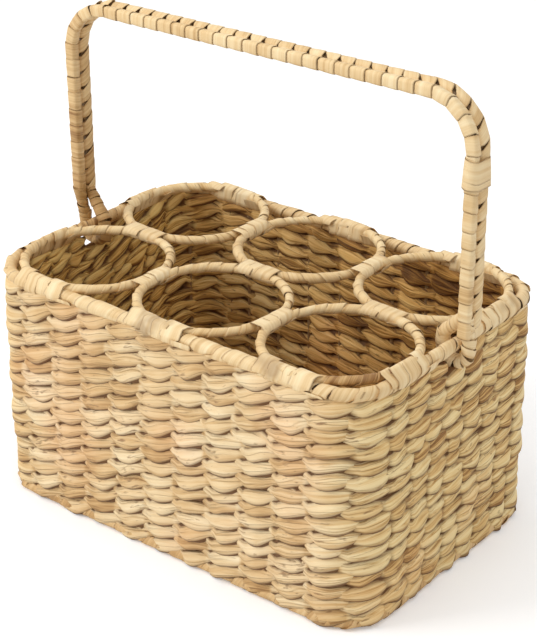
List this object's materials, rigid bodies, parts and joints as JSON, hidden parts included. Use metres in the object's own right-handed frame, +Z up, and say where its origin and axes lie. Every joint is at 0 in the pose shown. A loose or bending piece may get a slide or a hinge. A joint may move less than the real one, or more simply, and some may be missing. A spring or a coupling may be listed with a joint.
{
  "type": "wine bottle basket",
  "caption": "Rectangular woven natural-fibre basket with round wrapped bottle rings across its mouth and one tall overhead handle that tilts on eyes round the rim.",
  "frame": {"origin": "centre of the base on the surface that the basket stands on", "axes": "+X along the long side, +Y across the basket, +Z up"},
  "size_m": [0.3406, 0.2176, 0.3376],
  "materials": {
    "weave": "dry twined leaf fibre, matte",
    "strip": "smooth wound leaf strip, satin",
    "wire": "dark drawn wire"
  },
  "bodies": {
    "basket": {"wire_frame": "wire", "rim_wrap": "strip", "bottom_wrap": "strip", "wall_weave": "weave", "base_weave": "weave", "ring_rod_left_front": "wire", "ring_rod_left_back": "wire", "ring_rod_middle_front": "wire", "ring_rod_middle_back": "wire", "ring_rod_right_front": "wire", "ring_rod_right_back": "wire", "ring_wrap_left_front": "strip", "ring_wrap_left_back": "strip", "ring_wrap_middle_front": "strip", "ring_wrap_middle_back": "strip", "ring_wrap_right_front": "strip", "ring_wrap_right_back": "strip", "ring_lashing_left_middle_front": "strip", "ring_lashing_middle_right_front": "strip", "ring_lashing_left_middle_back": "strip", "ring_lashing_middle_right_back": "strip", "ring_lashing_left_front_back": "strip", "ring_lashing_middle_front_back": "strip", "ring_lashing_right_front_back": "strip", "rim_lashing_left_side_front": "strip", "rim_lashing_left_side_back": "strip", "rim_lashing_right_side_front": "strip", "rim_lashing_right_side_back": "strip", "rim_lashing_front_left": "strip", "rim_lashing_front_middle": "strip", "rim_lashing_front_right": "strip", "rim_lashing_back_left": "strip", "rim_lashing_back_middle": "strip", "rim_lashing_back_right": "strip"},
    "handle": {"handle_rod": "wire", "handle_wrap": "strip", "eye_wrap_left": "strip", "eye_wrap_right": "strip", "handle_band": "strip"}
  },
  "joints": [
    {"name": "handle_swing", "type": "hinge", "parent": "basket", "child": "handle", "pos_m": [0, 0, 0.1688], "axis": [1, 0, 0], "range_deg": [-30, 30]}
  ]
}
